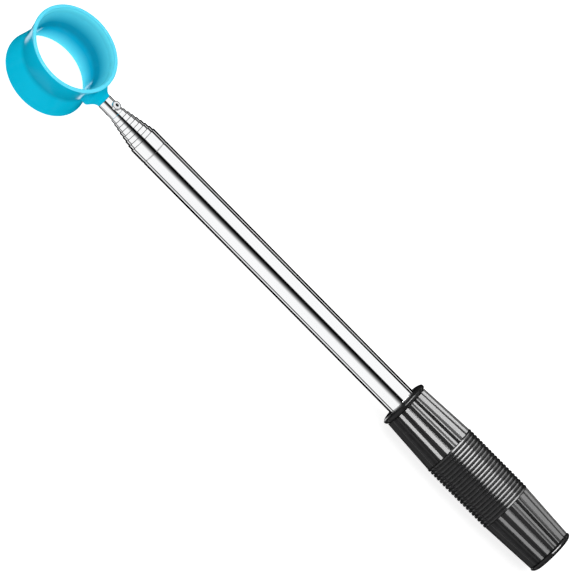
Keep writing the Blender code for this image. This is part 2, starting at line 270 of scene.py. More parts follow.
def arc(centre, along, across, start, end, steps):
    """Stations on part of an ellipse. 0 degrees points along the axis and 90 away from it."""
    stations = []
    for step in range(steps + 1):
        angle = math.radians(start + (end - start) * step / steps)
        stations.append(
            (centre[0] + along * math.cos(angle), centre[1] + across * math.sin(angle))
        )
    return stations


def dense(stations, longest):
    """The same outline with points added, so that no step along the axis is longer than given."""
    result = [stations[0]]
    for first, second in zip(stations, stations[1:]):
        steps = max(1, math.ceil(abs(second[0] - first[0]) / longest))
        for step in range(1, steps + 1):
            share = step / steps
            result.append(tuple(a + (b - a) * share for a, b in zip(first, second)))
    return result


def circle(along, radius, angles):
    return np.full(len(angles), radius)


# Meshes


def turned_rows(stations, segments, radius_at=circle, upright_at=None):
    """Rows of points round the pole's axis, or round an upright axis at the given (X, height)."""
    angles = np.arange(segments) * 2 * math.pi / segments
    rows = []
    for along, radius in stations:
        radii = radius_at(along, radius, angles)
        across, up = radii * np.cos(angles), radii * np.sin(angles)
        place = np.full(segments, along)
        if upright_at is None:
            row = (place, across, AXIS_HEIGHT + up)
        else:
            row = (upright_at[0] + across, up, upright_at[1] + place)
        rows.append(np.stack(row, axis=1))
    return np.array(rows)


def skin(name, rows, loop, join_columns=True, sharp=32):
    """A mesh over rows of points. As a loop its last row meets its first, else flat ends close it."""
    count, width = rows.shape[:2]
    index = np.arange(count * width).reshape(count, width)
    first, second = (index, np.roll(index, -1, axis=0)) if loop else (index[:-1], index[1:])
    corners = [first, np.roll(first, -1, axis=1), np.roll(second, -1, axis=1), second]
    if not join_columns:
        corners = [corner[:, :-1] for corner in corners]
    faces = np.stack(corners, axis=-1).reshape(-1, 4).tolist()
    if not loop:
        faces += [index[0].tolist(), index[-1].tolist()]
    if not join_columns:
        faces += [index[:, 0].tolist(), index[:, -1].tolist()]
    mesh = bpy.data.meshes.new(name)
    mesh.from_pydata(rows.reshape(-1, 3).tolist(), [], faces)
    return shaded(mesh, sharp)


def shaded(mesh, sharp=32):
    """Turns the faces outwards and shades them smooth up to the given angle between them."""
    bm = bmesh.new()
    bm.from_mesh(mesh)
    bmesh.ops.recalc_face_normals(bm, faces=bm.faces)
    bm.to_mesh(mesh)
    bm.free()
    mesh.shade_smooth()
    mesh.set_sharp_from_angle(angle=math.radians(sharp))
    return mesh


def tube(name, stations, segments=POLE_SEGMENTS, radius_at=circle, sharp=32):
    """A hollow turned piece: a closed loop of stations round the pole's axis."""
    return skin(name, turned_rows(stations, segments, radius_at), loop=True, sharp=sharp)


def rod(name, stations, segments=POLE_SEGMENTS, upright_at=None):
    """A solid turned piece with a flat face at each end."""
    return skin(name, turned_rows(stations, segments, upright_at=upright_at), loop=False)


def combined(mesh, tool_mesh, operation):
    """The mesh after a Boolean with another one."""
    things = []
    for name, data in (("base", mesh), ("tool", tool_mesh)):
        thing = bpy.data.objects.new(name, data)
        bpy.context.scene.collection.objects.link(thing)
        things.append(thing)
    base, tool = things
    step = base.modifiers.new("combine", "BOOLEAN")
    step.operation, step.solver, step.object = operation, "EXACT", tool
    graph = bpy.context.evaluated_depsgraph_get()
    result = bpy.data.meshes.new_from_object(base.evaluated_get(graph))
    result.name = mesh.name
    for thing in things:
        bpy.data.objects.remove(thing)
    return shaded(result)


def piece(name, mesh, body, finish, slot, *nodes):
    """Puts a mesh in the scene with its finish, on its body, in place of its CAD nodes."""
    thing = bpy.data.objects.new(name, mesh)
    bpy.context.scene.collection.objects.link(thing)
    mesh.materials.clear()
    mesh.materials.append(finish)
    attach(thing, body)
    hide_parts(*nodes)
    return thing


# Finishes


class Finish:
    """A material under construction: its Principled shader and the nodes that feed it."""

    def __init__(self, name, colour, roughness, metallic=0.0, **sockets):
        self.material = bpy.data.materials.new(name)
        self.material.use_nodes = True
        tree = self.material.node_tree
        self.nodes, self.links = tree.nodes, tree.links
        self.shader = self.nodes["Principled BSDF"]
        self.set("Base Color", (*colour, 1.0))
        self.set("Roughness", roughness)
        self.set("Metallic", metallic)
        for socket, value in sockets.items():
            self.set(socket.replace("_", " "), value)
        self.place = self.nodes.new("ShaderNodeTexCoord").outputs["Object"]
        self.bump = None

    def set(self, socket, value):
        self.shader.inputs[socket].default_value = value

    def height(self):
        """The height above the ground, at rest."""
        parts = self.nodes.new("ShaderNodeSeparateXYZ")
        self.links.new(self.place, parts.inputs[0])
        return parts.outputs["Z"]

    def noise(self, size, stretch=(1.0, 1.0, 1.0), detail=3.0):
        """Noise whose grains measure about the given length, longer along an axis by its stretch."""
        scaled = self.nodes.new("ShaderNodeMapping")
        scaled.inputs["Scale"].default_value = [1.0 / (size * factor) for factor in stretch]
        self.links.new(self.place, scaled.inputs["Vector"])
        texture = self.nodes.new("ShaderNodeTexNoise")
        texture.inputs["Scale"].default_value = 1.0
        texture.inputs["Detail"].default_value = detail
        self.links.new(scaled.outputs["Vector"], texture.inputs["Vector"])
        return texture.outputs["Fac"]

    def spread(self, value, low, high, start=0.3, end=0.7):
        """The value mapped from start..end to low..high."""
        node = self.nodes.new("ShaderNodeMapRange")
        for socket, number in (
            ("From Min", start),
            ("From Max", end),
            ("To Min", low),
            ("To Max", high),
        ):
            node.inputs[socket].default_value = number
        self.links.new(value, node.inputs["Value"])
        return node.outputs["Result"]

    def product(self, first, second, third):
        """The product of two values and a number."""
        result = first
        for factor in (second, third):
            node = self.nodes.new("ShaderNodeMath")
            node.operation = "MULTIPLY"
            self.links.new(result, node.inputs[0])
            if isinstance(factor, float):
                node.inputs[1].default_value = factor
            else:
                self.links.new(factor, node.inputs[1])
            result = node.outputs[0]
        return result

    def vary_roughness(self, value, low, high):
        self.links.new(self.spread(value, low, high), self.shader.inputs["Roughness"])

    def mix_colour(self, factor, other):
        """Mixes another colour over the present one by a factor from 0 to 1."""
        mix = self.nodes.new("ShaderNodeMix")
        mix.data_type = "RGBA"
        base = self.shader.inputs["Base Color"]
        if base.is_linked:
            self.links.new(base.links[0].from_socket, mix.inputs["A"])
        else:
            mix.inputs["A"].default_value = base.default_value
        mix.inputs["B"].default_value = (*other, 1.0)
        self.links.new(factor, mix.inputs["Factor"])
        self.links.new(mix.outputs["Result"], base)

    def vary_colour(self, value, other, share):
        """Mixes up to the given share of another colour in, where the value is high."""
        self.mix_colour(self.spread(value, 0.0, share), other)

    def raise_by(self, value, height):
        """Adds a bump of the given height on top of earlier ones."""
        node = self.nodes.new("ShaderNodeBump")
        node.inputs["Strength"].default_value = 1.0
        node.inputs["Distance"].default_value = height
        self.links.new(value, node.inputs["Height"])
        if self.bump is not None:
            self.links.new(self.bump, node.inputs["Normal"])
        self.bump = node.outputs["Normal"]
        self.links.new(self.bump, self.shader.inputs["Normal"])


def cyan_plastic(name, shade):
    """Glossy moulded plastic with flow marks and fine scuffs, with painted shade round the waist: darker
    colour there, fading out far up the upper flare.
    """
    finish = Finish(name, (0.0, 0.43, 0.625), 0.16, IOR=1.45, Specular_IOR_Level=0.05)
    finish.vary_colour(finish.noise(9 * MM, detail=2.0), (0.001, 0.465, 0.665), 0.6)
    # Painted shade: the colour darkens towards the waist, from below and from far above it
    waist = RING_CENTRE[1] + PAINTED_SHADE_WAIST_HEIGHT
    below = finish.spread(finish.height(), 0.0, 1.0, waist - PAINTED_SHADE_BELOW_WAIST, waist)
    above = finish.spread(finish.height(), 1.0, 0.0, waist, waist + PAINTED_SHADE_ABOVE_WAIST)
    finish.mix_colour(finish.product(below, above, shade), (0.0, 0.285, 0.43))
    finish.vary_roughness(finish.noise(1.6 * MM, detail=5.0), 0.10, 0.2)
    finish.raise_by(finish.noise(0.9 * MM, detail=2.0), 0.008 * MM)
    finish.raise_by(finish.noise(6.0 * MM, detail=1.0), 0.03 * MM)
    return finish


def cyan_plastic_with_painted_light():
    """The same plastic inside the ring, with painted light: a paler colour near both rims, and a paler,
    whiter colour on the front lip's top, for the light falling there.
    """
    finish = cyan_plastic("cyan_plastic_painted_light", PAINTED_SHADE_AT_WAIST)
    edge = RING_HALF_DEPTH - PAINTED_LIGHT_DEPTH
    upper = finish.spread(finish.height(), 0.0, 1.0, RING_CENTRE[1] + edge, RING_HIGH.z)
    lower = finish.spread(finish.height(), 1.0, 0.0, RING_LOW.z, RING_CENTRE[1] - edge)
    # Painted light: paler towards each rim
    for near_edge in (upper, lower):
        finish.mix_colour(near_edge, (0.16, 0.84, 0.97))
    # Painted light on the front lip's top
    start, end = (RING_HIGH.z - depth for depth in LIP_PAINTED_LIGHT_DEPTHS)
    lip = finish.spread(finish.height(), 0.0, 1.0, start, end)
    finish.mix_colour(lip, (0.10, 0.62, 0.80))
    return finish


def polished_steel():
    """Bright drawn tube: fine lines along the pole, and faint wipe marks."""
    finish = Finish("polished_tube_steel", (0.96, 0.965, 0.97), 0.06, 1.0)
    finish.vary_colour(finish.noise(7 * MM, (6, 1, 1)), (0.90, 0.91, 0.925), 0.5)
    finish.vary_roughness(finish.noise(0.35 * MM, (60, 1, 1), 4.0), 0.035, 0.10)
    finish.raise_by(finish.noise(0.25 * MM, (120, 1, 1), 2.0), 0.0006 * MM)
    return finish.material


def painted_shade_steel(name, tone):
    """A dulled edge, such as a rolled lip, coloured dark as painted shade for the dark line there, with
    darker patches at random.
    """
    finish = Finish(name, (tone, tone, 1.04 * tone), 0.3, 1.0)
    finish.vary_colour(finish.noise(0.8 * MM), (0.4 * tone, 0.4 * tone, 0.4 * tone), 0.8)
    finish.vary_roughness(finish.noise(0.3 * MM, detail=4.0), 0.25, 0.45)
    finish.raise_by(finish.noise(0.2 * MM, detail=3.0), 0.004 * MM)
    return finish.material


def rivet_steel():
    """Pressed steel with a fine turned grain."""
    finish = Finish("pressed_rivet_steel", (0.86, 0.865, 0.88), 0.10, 1.0)
    finish.vary_colour(finish.noise(1.2 * MM), (0.70, 0.71, 0.74), 0.5)
    finish.vary_roughness(finish.noise(0.2 * MM, (1, 1, 8), 4.0), 0.07, 0.16)
    finish.raise_by(finish.noise(0.3 * MM, detail=3.0), 0.002 * MM)
    return finish.material


def spring_brass():
    """Brushed brass, rubbed brighter in lines along the pole and dulled in patches."""
    finish = Finish("spring_sleeve_brass", (0.80, 0.56, 0.24), 0.28, 1.0)
    finish.vary_colour(finish.noise(4 * MM), (0.55, 0.35, 0.15), 0.6)
    finish.vary_roughness(finish.noise(0.3 * MM, (30, 1, 1), 4.0), 0.2, 0.42)
    finish.raise_by(finish.noise(0.25 * MM, (60, 1, 1), 2.0), 0.003 * MM)
    return finish.material


def black_plastic():
    """Glossy black moulding with a fine texture and hairline marks along the flutes."""
    finish = Finish(
        "black_moulded_plastic", (0.010, 0.010, 0.0104), 0.16, IOR=1.5, Specular_IOR_Level=0.2
    )
    finish.vary_colour(finish.noise(5 * MM), (0.016, 0.016, 0.0165), 0.7)
    finish.vary_roughness(finish.noise(0.5 * MM, (12, 1, 1), 4.0), 0.12, 0.22)
    finish.raise_by(finish.noise(0.6 * MM, detail=3.0), 0.004 * MM)
    return finish.material


def black_rubber():
    """Firm moulded rubber: slightly shiny on the ribs, dusty and matt in places."""
    finish = Finish(
        "black_grip_rubber", (0.010, 0.010, 0.0103), 0.2, IOR=1.5, Specular_IOR_Level=0.35
    )
    finish.vary_colour(finish.noise(3 * MM, detail=4.0), (0.018, 0.018, 0.0186), 0.8)
    finish.vary_roughness(finish.noise(0.8 * MM, detail=5.0), 0.17, 0.27)
    finish.raise_by(finish.noise(0.35 * MM, detail=3.0), 0.006 * MM)
    return finish.material


def white_floor():
    """A lit white table that glows, so that shadows on it stay pale."""
    finish = Finish("white_floor", (0.45, 0.45, 0.45), 0.6)
    finish.vary_roughness(finish.noise(40 * MM), 0.55, 0.65)
    finish.set("Emission Color", (1.0, 1.0, 1.0, 1.0))
    finish.set("Emission Strength", FLOOR_GLOW)
    return finish.material


# Ball ring


def wall_radius(height, waist, inset, edge):
    """The hourglass: its waist opens by a power law to the edge of each rim."""
    rim = (FRONT_RIM_RADIUS if height > 0 else BACK_RIM_RADIUS) - inset
    return waist + (rim - waist) * abs(height / edge) ** FLARE_POWER


def wall(waist, inset, edge):
    """Stations of one side of the ring's wall, from just inside one rim to the other."""
    shares = [2 * step / WALL_STEPS - 1 for step in range(WALL_STEPS + 1)]
    heights = [WALL_SHARE * edge * share for share in shares]
    return [(height, wall_radius(height, waist, inset, edge)) for height in heights]


def wall_middle(height):
    """The radius halfway through the ring's wall."""
    outer = wall_radius(height, WAIST_RADIUS, 0.0, RING_HALF_DEPTH - OUTER_ROUNDING)
    inner_edge = RING_HALF_DEPTH - INNER_ROUNDING_DEPTH
    return (outer + wall_radius(height, THROAT_RADIUS, RIM_WALL, inner_edge)) / 2


def ring_outline():
    """The wall's section: out along the outside, over the front rim, and back along the inside."""
    edge = RING_HALF_DEPTH - OUTER_ROUNDING
    inner_edge = RING_HALF_DEPTH - INNER_ROUNDING_DEPTH
    inset = RIM_WALL - INNER_ROUNDING
    outer_size = (OUTER_ROUNDING, OUTER_ROUNDING)
    inner_size = (INNER_ROUNDING_DEPTH, INNER_ROUNDING)
    return [
        *wall(WAIST_RADIUS, 0.0, edge),
        *arc((edge, FRONT_RIM_RADIUS - OUTER_ROUNDING), *outer_size, 102, 0, 8),
        *arc((inner_edge, FRONT_RIM_RADIUS - inset), *inner_size, 0, -88, 12),
        *reversed(wall(THROAT_RADIUS, RIM_WALL, inner_edge)),
        *arc((-inner_edge, BACK_RIM_RADIUS - inset), *inner_size, -92, -180, 12),
        *arc((-edge, BACK_RIM_RADIUS - OUTER_ROUNDING), *outer_size, 180, 78, 8),
    ]


def neck_radius(along, radius, angles):
    """An octagon with a facet on top and slightly rounded corners, or a circle along the plug."""
    if along > TIP_FRONT:
        return circle(along, radius, angles)
    side = 2 * math.pi / NECK_SIDES
    off_facet = (angles + side / 2) % side - side / 2
    flat = radius * math.cos(side / 2) / math.cos(side / 4)
    return np.minimum(flat / np.cos(off_facet), NECK_CORNER * flat)


def neck():
    """The tapered neck and the plug inside the tip. Its root lies within the ring's curved wall."""
    stations = [(RING_CENTRE[0] + x * MM, radius * MM) for x, radius in NECK_OUTLINE]
    end, rounding = TIP_FRONT - NECK_END_GAP, PLUG_ROUNDING
    stations += [(end, NECK_END_RADIUS), (end + PLUG_STEP, PLUG_RADIUS)]
    stations += arc((RING_HIGH.x - rounding, PLUG_RADIUS - rounding), rounding, rounding, 90, 0, 5)
    rows = turned_rows(stations, NECK_SEGMENTS, neck_radius)
    for point in rows[0]:
        middle = wall_middle(point[2] - RING_CENTRE[1])
        point[0] = RING_CENTRE[0] + math.sqrt(middle**2 - point[1] ** 2)
    return skin("neck", rows, loop=False)


def cross_hole(x, radius, low, high):
    """A cutter for a hole across the pole's axis."""
    return rod("hole", [(low, radius), (high, radius)], HOLE_SEGMENTS, (x, AXIS_HEIGHT))


def rivet_hole():
    return cross_hole(RIVET_X, RIVET_HOLE_RADIUS, -2 * TIP_RADIUS, 2 * TIP_RADIUS)


def mark_ring(ring_piece, inside_finish, neck_finish):
    """Gives the front rim with the inside of the ring, and the neck, finishes of their own."""
    ring_piece.data.materials.append(inside_finish)
    ring_piece.data.materials.append(neck_finish)
    for face in ring_piece.data.polygons:
        height = face.center.z - RING_CENTRE[1]
        radius = math.hypot(face.center.x - RING_CENTRE[0], face.center.y)
        outside = wall_radius(height, WAIST_RADIUS, 0.0, RING_HALF_DEPTH - OUTER_ROUNDING)
        if radius > outside + NECK_MARGIN:
            face.material_index = 2
        elif height > RING_HALF_DEPTH - RIM_SHARE * OUTER_ROUNDING or radius < wall_middle(height):
            face.material_index = 1


def ball_ring(finish, inside_finish, neck_finish):
    rows = turned_rows(ring_outline(), RING_SEGMENTS, upright_at=RING_CENTRE)
    mesh = combined(skin("ball_ring", rows, loop=True), neck(), "UNION")
    mesh = combined(mesh, rivet_hole(), "DIFFERENCE")
    thing = piece("ball_ring", mesh, "head", finish, "ring_plastic", "head_ring")
    mark_ring(thing, inside_finish, neck_finish)


def rivet_half(top, radius):
    """(radius, height) points from the bore over a domed head to the shank. None is on the tube."""
    funnel_centre = (top - RIVET_FUNNEL, RIVET_BORE_RADIUS + RIVET_FUNNEL)
    funnel = arc(funnel_centre, RIVET_FUNNEL, RIVET_FUNNEL, -90, 0, 6)
    head_rounding = (RIVET_DOME_HEIGHT, RIVET_DOME_SHARE * radius)
    head = arc((top - head_rounding[0], radius - head_rounding[1]), *head_rounding, 0, 90, 12)
    seat = np.linspace(radius, RIVET_SHANK_RADIUS, 7)
    return [(r, height) for height, r in funnel + head] + [(r, None) for r in seat]


def rivet(finish):
    """A tubular rivet. The undersides of its domed head and of its clinch follow the round tube."""
    seat = TIP_RADIUS + RIVET_SEAT_GAP
    angles = np.arange(RIVET_SEGMENTS) * 2 * math.pi / RIVET_SEGMENTS
    head, clinch = rivet_half(RIVET_TOP, RIVET_RADIUS), rivet_half(CLINCH_TOP, CLINCH_RADIUS)
    rows = []
    for side, half, widest in ((1, head, RIVET_RADIUS), (-1, clinch[::-1], CLINCH_RADIUS)):
        for radius, height in half:
            along, across = radius * np.cos(angles), radius * np.sin(angles)
            up = on_tube = np.sqrt(seat**2 - across**2)
            if height is not None:
                up = np.full(RIVET_SEGMENTS, height)
            if height is not None and radius > RIVET_RIM_SHARE * widest:
                up = np.maximum(up, on_tube + RIVET_RIM_GAP)
            rows.append(np.stack((RIVET_X + along, across, AXIS_HEIGHT + side * up), axis=1))
    mesh = skin("tip_rivet", np.array(rows), loop=True)
    piece("tip_rivet", mesh, "head", finish, "rivet_steel", "head_rivet")


# Pole


def mark_edge(tube_piece, start, end, finish):
    """Gives a short stretch of a tube, such as its rolled lip, a finish of its own."""
    tube_piece.data.materials.append(finish)
    for face in tube_piece.data.polygons:
        if start < face.center.x < end:
            face.material_index = len(tube_piece.data.materials) - 1


def body_of_section(number):
    return "head" if number == 1 else f"tube_{number}"


def rolled_lip(front, outer):
    """(outside, inside) of a tube's front end, where its edge is rolled in towards the next tube."""
    lip_bore = outer - RADIUS_STEP + LIP_CLEARANCE
    drop = outer - lip_bore - LIP_EDGE
    outside = arc((front + LIP_EDGE, lip_bore + LIP_EDGE), LIP_EDGE, LIP_EDGE, 270, 180, 4)
    outside += arc((front + LIP_ROLL, outer - drop), LIP_ROLL, drop, 180, 90, 10)[1:]
    inside = [
        (front + LIP_LENGTH + LIP_TAPER, outer - TUBE_WALL),
        (front + LIP_LENGTH, lip_bore),
    ]
    return outside, inside


def section(number, finish, lip_shade_finish):
    """A sliding tube, whose rear end flares to keep its friction sleeve on."""
    name, node = f"pole_section_{number}", f"section_{number}"
    front, rear, flared = span(node)
    outer = flared - FLARE_RISE
    bore = outer - TUBE_WALL
    if number == 1:
        outside = arc((front + TIP_EDGE, outer - TIP_EDGE), TIP_EDGE, TIP_EDGE, 180, 90, 4)
        inside = [(front, bore)]
    else:
        outside, inside = rolled_lip(front, outer)
    start = rear - FLARE_LENGTH
    flaring = [
        (start + FLARE_LENGTH * share, FLARE_RISE * share**2 * (3 - 2 * share))
        for share in (0.0, 0.25, 0.5, 0.75, 1.0)
    ]
    outside += [(along, outer + rise) for along, rise in flaring]
    inside = [(along, bore + rise) for along, rise in reversed(flaring)] + inside
    mesh = tube(name, outside + inside)
    if number == 1:
        mesh = combined(mesh, rivet_hole(), "DIFFERENCE")
    thing = piece(name, mesh, body_of_section(number), finish, "pole_steel", node)
    if number > 2:
        # Painted shade: the rolled lip's dark steel draws the dark line where the next tube goes in
        mark_edge(thing, front, front + LIP_ROLL, lip_shade_finish)


def friction_sleeve(number, finish):
    """A thin split spring sleeve with rounded ends."""
    name, node = f"spring_sleeve_{number}", f"friction_sleeve_{number}"
    front, rear, outer = span(node)
    inner = outer - SLEEVE_WALL
    half = SLEEVE_WALL / 2
    outside = arc((front + half, outer - half), half, half, 180, 90, 3)
    outside += arc((rear - half, outer - half), half, half, 90, 0, 3)
    stations = outside + [(rear, inner), (front, inner)]
    rows = turned_rows(stations, POLE_SEGMENTS)
    open_columns = POLE_SEGMENTS * SLEEVE_SLOT_ANGLE // 360
    rows = rows[:, : POLE_SEGMENTS - open_columns + 1]
    mesh = skin(name, rows, loop=True, join_columns=False)
    piece(name, mesh, body_of_section(number), finish, "sleeve_brass", node)


def outer_tube(finish, lip_shade_finish, groove_shade_finish):
    """The fixed tube, with the rolled groove that stops section 8's sleeve behind the lip."""
    outside, inside = rolled_lip(TUBE_FRONT, TUBE_RADIUS)
    bore = TUBE_RADIUS - TUBE_WALL
    groove_x = TUBE_FRONT + STOP_GROOVE_OFFSET
    groove = []
    for step in range(2 * STOP_GROOVE_STEPS + 1):
        share = step / STOP_GROOVE_STEPS - 1
        depth = STOP_GROOVE_DEPTH * (1 + math.cos(math.pi * share)) / 2
        groove.append((groove_x + STOP_GROOVE_HALF_WIDTH * share, depth))
    outside += [(along, TUBE_RADIUS - depth) for along, depth in groove]
    outside += [(TUBE_REAR, TUBE_RADIUS)]
    inside = [(TUBE_REAR, bore)] + [(a, bore - depth) for a, depth in reversed(groove)] + inside
    mesh = combined(tube("fixed_tube", outside + inside), pin_hole(), "DIFFERENCE")
    thing = piece("fixed_tube", mesh, "handle", finish, "pole_steel", "outer_tube")
    # Painted shade: the rolled lip's dark steel draws the dark line where the next tube goes in
    mark_edge(thing, TUBE_FRONT, TUBE_FRONT + LIP_ROLL, lip_shade_finish)
    # Painted shade: darker steel at the bottom of the stop groove
    mark_edge(thing, groove_x - STOP_GROOVE_SHADE, groove_x + STOP_GROOVE_SHADE, groove_shade_finish)


# Handle


def pin_hole():
    return cross_hole(PIN_X, PIN_HOLE_RADIUS, *PIN_HOLE_SPAN)


def collar(finish):
    """The domed ring round the tube, with a spigot that sits in the handle body."""
    rear = COLLAR_FRONT + COLLAR_LENGTH
    crest = rear - COLLAR_BACK_LENGTH
    dome_size = (crest - COLLAR_FRONT, COLLAR_RADIUS - COLLAR_DOME_START)
    dome = arc((crest, COLLAR_DOME_START), *dome_size, 180, 90, 18)
    back_size = (COLLAR_BACK_LENGTH, COLLAR_BACK_HEIGHT)
    back = arc((crest, COLLAR_RADIUS - COLLAR_BACK_HEIGHT), *back_size, 90, 0, 9)[1:]
    loop = [
        (COLLAR_FRONT + COLLAR_CHAMFER, COLLAR_BORE),
        (COLLAR_FRONT, COLLAR_BORE + COLLAR_CHAMFER),
        *dome,
        *back,
        (rear, SPIGOT_RADIUS),
        (COLLAR_SPIGOT_REAR, SPIGOT_RADIUS),
        (COLLAR_SPIGOT_REAR, COLLAR_BORE),
    ]
    piece("tube_collar", tube("tube_collar", loop), "handle", finish, "handle_plastic", "front_collar")


def fluted(along, radius, angles):
    """Radii of the handle body: straight flutes where the radius is beyond the groove bottoms."""
    if radius < BODY_FRONT_RADIUS - BODY_CHAMFER - 1e-6 or math.isclose(radius, RECESS_RADIUS):
        return circle(along, radius, angles)
    pitch = 360 / FLUTES
    share = ((np.degrees(angles) - RIDGE_ANGLE) / pitch) % 1.0
    from_ridge = np.minimum(share, 1.0 - share)
    places, depths = zip(*FLUTE_PROFILE)
    return radius - FLUTE_DEPTH * np.interp(from_ridge, places, depths)


def handle_body(finish):
    """One fluted moulding, widest beside the recess that holds the grip sleeve."""
    recess_front, recess_rear = GRIP_FRONT - GRIP_CLEARANCE, GRIP_REAR + GRIP_CLEARANCE
    chamfer = BODY_CHAMFER

    def fluted_part(front, front_radius, rear, rear_radius):
        ends = [
            (front, front_radius - chamfer),
            (front + chamfer, front_radius),
            (rear - chamfer, rear_radius),
            (rear, rear_radius - chamfer),
        ]
        return [ends[0], *dense(ends[1:3], 3 * MM), ends[3]]

    loop = [
        *fluted_part(BODY_FRONT, BODY_FRONT_RADIUS, recess_front, BODY_WIDE_RADIUS),
        *dense([(recess_front, RECESS_RADIUS), (recess_rear, RECESS_RADIUS)], 4 * MM),
        *fluted_part(recess_rear, BODY_WIDE_RADIUS, BODY_REAR, BODY_REAR_RADIUS),
        (BODY_REAR, SOCKET_RADIUS),
        (BODY_REAR - REAR_SOCKET_DEPTH, SOCKET_RADIUS),
        (BODY_REAR - REAR_SOCKET_DEPTH, BODY_BORE),
        (BODY_FRONT + SOCKET_DEPTH, BODY_BORE),
        (BODY_FRONT + SOCKET_DEPTH, SOCKET_RADIUS),
        (BODY_FRONT, SOCKET_RADIUS),
    ]
    mesh = tube("fluted_body", loop, FLUTES * FLUTE_POINTS, fluted, sharp=24)
    mesh = combined(mesh, pin_hole(), "DIFFERENCE")
    piece("fluted_body", mesh, "handle", finish, "handle_plastic", "handle_body")


def grip_sleeve(finish):
    """The ribbed sleeve: flat ribs with rounded edges, and V-shaped grooves between them."""
    pitch = (GRIP_REAR - GRIP_FRONT - RIB_WIDTH) / (GRIP_RIBS - 1)
    edge = RIB_ROUNDING
    shoulder = GRIP_RADIUS - edge
    outside = []
    for rib in range(GRIP_RIBS):
        front = GRIP_FRONT + rib * pitch
        rear = front + RIB_WIDTH
        outside += arc((front + edge, shoulder), edge, edge, 150, 90, 5)
        outside += arc((rear - edge, shoulder), edge, edge, 90, 30, 5)
        if rib < GRIP_RIBS - 1:
            outside.append(((rear + front + pitch) / 2, GRIP_VALLEY_RADIUS))
    ends = (GRIP_FRONT, GRIP_VALLEY_RADIUS), (GRIP_REAR, GRIP_VALLEY_RADIUS)
    bore = [(GRIP_REAR, GRIP_BORE), (GRIP_FRONT, GRIP_BORE)]
    mesh = tube("ribbed_grip", [ends[0], *outside, ends[1], *bore])
    piece("ribbed_grip", mesh, "handle", finish, "grip_rubber", "grip_sleeve")


def end_cap(finish):
    """The rounded cap, with a spigot that sits in the handle body."""
    front, rounding = CAP_REAR - CAP_LENGTH, CAP_FRONT_ROUNDING
    dome_size = (CAP_DOME_LENGTH, CAP_RADIUS - CAP_DOME_START)
    stations = [
        (CAP_FRONT, SPIGOT_RADIUS - CAP_SPIGOT_CHAMFER),
        (CAP_FRONT + CAP_SPIGOT_CHAMFER, SPIGOT_RADIUS),
        (front, SPIGOT_RADIUS),
        *arc((front + rounding, CAP_RADIUS - rounding), rounding, rounding, 180, 90, 5),
        *arc((CAP_REAR - CAP_DOME_LENGTH, CAP_DOME_START), *dome_size, 88, 0, 16),
    ]
    stations += [(CAP_REAR, radius) for radius in CAP_FACE_RADII]
    piece("rear_cap", rod("rear_cap", stations), "handle", finish, "handle_plastic", "end_cap")


def end_plug(finish):
    """The plug that closes the fixed tube's rear end, with a flange behind it."""
    flange = END_PLUG_REAR - END_PLUG_FLANGE
    stations = [
        (END_PLUG_FRONT, END_PLUG_RADIUS - END_PLUG_CHAMFER),
        (END_PLUG_FRONT + END_PLUG_CHAMFER, END_PLUG_RADIUS),
        (flange, END_PLUG_RADIUS),
        (flange, END_PLUG_FLANGE_RADIUS - FLANGE_CHAMFER),
        (flange + FLANGE_CHAMFER, END_PLUG_FLANGE_RADIUS),
        (END_PLUG_REAR - FLANGE_CHAMFER, END_PLUG_FLANGE_RADIUS),
        (END_PLUG_REAR, END_PLUG_FLANGE_RADIUS - FLANGE_CHAMFER),
    ]
    piece("tube_plug", rod("tube_plug", stations), "handle", finish, "handle_plastic", "tube_end_plug")


def lock_pin(finish):
    """The upright pin that locks the handle body to the fixed tube."""
    low, high = PIN_LOW.z - AXIS_HEIGHT, PIN_HIGH.z - AXIS_HEIGHT
    inner, outer = PIN_ROUNDINGS
    stations = [
        *arc((low + inner, PIN_RADIUS - inner), inner, inner, 180, 90, 4),
        *arc((high - outer, PIN_RADIUS - outer), outer, outer, 90, 0, 4),
    ]
    mesh = rod("cross_pin", stations, HOLE_SEGMENTS, (PIN_X, AXIS_HEIGHT))
    piece("cross_pin", mesh, "handle", finish, "rivet_steel", "handle_lock_pin")


# Studio


def facing(place, right, up, back):
    """A placement at a point, with its axes along the three given directions."""
    return Matrix.Translation(place) @ Matrix((right, up, back)).transposed().to_4x4()


def camera():
    """A long lens, turned so that the pole runs from the picture's top left to its bottom right."""
    along = Vector((1.0, 0.0, 0.0))
    along = (along - along.dot(VIEW) * VIEW).normalized()
    across = VIEW.cross(along)
    right = POLE_IN_PICTURE.x * along - POLE_IN_PICTURE.y * across
    up = POLE_IN_PICTURE.y * along + POLE_IN_PICTURE.x * across
    data = bpy.data.cameras.new("studio_camera")
    data.lens, data.sensor_width = LENS, SENSOR
    distance = PICTURE_WIDTH * LENS / SENSOR
    data.clip_start, data.clip_end = 0.1 * distance, 10 * distance
    thing = bpy.data.objects.new("studio_camera", data)
    thing.matrix_world = facing(TARGET + distance * VIEW, right, up, VIEW)
    bpy.context.scene.collection.objects.link(thing)
    bpy.context.scene.camera = thing


